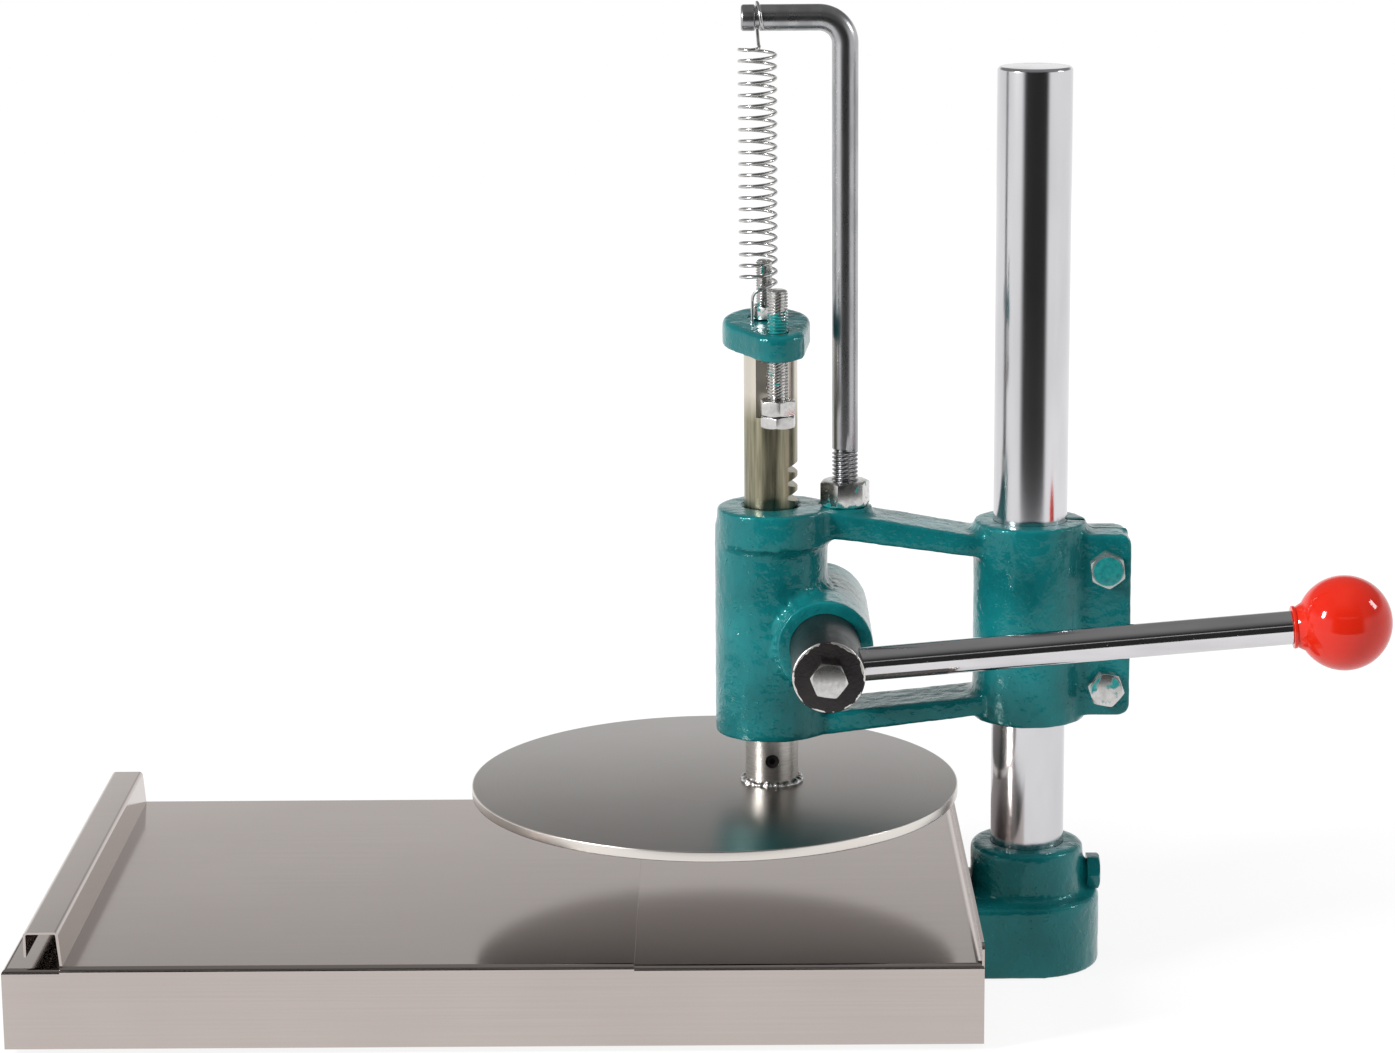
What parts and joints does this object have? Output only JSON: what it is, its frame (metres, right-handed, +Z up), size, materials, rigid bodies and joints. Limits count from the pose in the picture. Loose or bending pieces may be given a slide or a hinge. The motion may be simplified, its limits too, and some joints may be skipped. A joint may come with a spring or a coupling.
{
  "type": "hand cranked dough press",
  "caption": "Bench press for flattening dough: a hand lever turns a pinion that drives a toothed ram and a round disc down over a sheet steel base with a sliding tray.",
  "frame": {"origin": "on the surface the press stands on, at the middle of its whole length and width", "axes": "+X along the base from the tray's grip to the column and the knob, -Y towards the person who works the lever, +Z up along the column"},
  "size_m": [0.6506, 0.272, 0.4756],
  "materials": {
    "stainless_sheet": "satin stainless sheet with soft bent edges",
    "black_rubber": "plain black rubber",
    "green_paint": "glossy blue-green paint over a rough casting",
    "zinc": "bright zinc plate",
    "chrome_plate": "polished chrome plate",
    "ram_steel": "turned steel with an olive-gold passivated tint",
    "spring_wire": "bright drawn spring wire",
    "black_oxide": "black oxide steel, rubbed bright at its edges",
    "red_plastic": "glossy moulded plastic",
    "brushed_disc": "fine turned stainless",
    "weld_steel": "bright weld bead"
  },
  "bodies": {
    "base": {"chassis": "stainless_sheet", "base_feet": "black_rubber", "column_socket": "green_paint", "socket_bolts": "zinc", "socket_set_bolt": "green_paint"},
    "tray": {"tray": "stainless_sheet"},
    "column": {"pole": "chrome_plate"},
    "head": {"head_casting": "green_paint", "clamp_bolts": "zinc", "clamp_washers": "zinc", "clamp_nuts": "zinc", "spring_hanger": "chrome_plate", "hanger_nut": "zinc", "return_spring": "spring_wire"},
    "crank": {"pinion_shaft": "black_oxide", "pinion_washer": "zinc", "pinion_bolt": "zinc", "lever": "chrome_plate", "knob": "red_plastic", "lever_clamp_bolt": "zinc"},
    "ram": {"ram": "ram_steel", "ram_cap": "green_paint", "cap_stud": "zinc", "cap_nut": "zinc", "stop_bolt": "zinc", "stop_nuts": "zinc", "press_disc": "brushed_disc", "disc_socket": "brushed_disc", "weld_bead": "weld_steel", "socket_grub_screw": "zinc"}
  },
  "joints": [
    {"name": "tray_slide", "type": "slide", "parent": "base", "child": "tray", "axis": [1, 0, 0], "range_m": [0, 0.155]},
    {"name": "column_swivel", "type": "hinge", "parent": "base", "child": "column", "pos_m": [0.16097, 0, 0.1], "axis": [0, 0, 1], "range_deg": [-10, 10]},
    {"name": "head_height", "type": "slide", "parent": "column", "child": "head", "axis": [0, 0, 1], "range_m": [0, 0.2]},
    {"name": "crank_turn", "type": "hinge", "parent": "head", "child": "crank", "pos_m": [0.06005, 0, 0.1691], "axis": [0, -1, 0], "range_deg": [0, 166]},
    {"name": "ram_slide", "type": "slide", "parent": "head", "child": "ram", "axis": [0, 0, -1], "range_m": [0, 0.0425], "stiffness_N_per_m": 614, "springref_m": -0.075, "deforming": ["return_spring"]}
  ],
  "couplings": [
    {"joint": "ram_slide", "follows": "crank_turn", "m_per_rad": 0.014625}
  ]
}
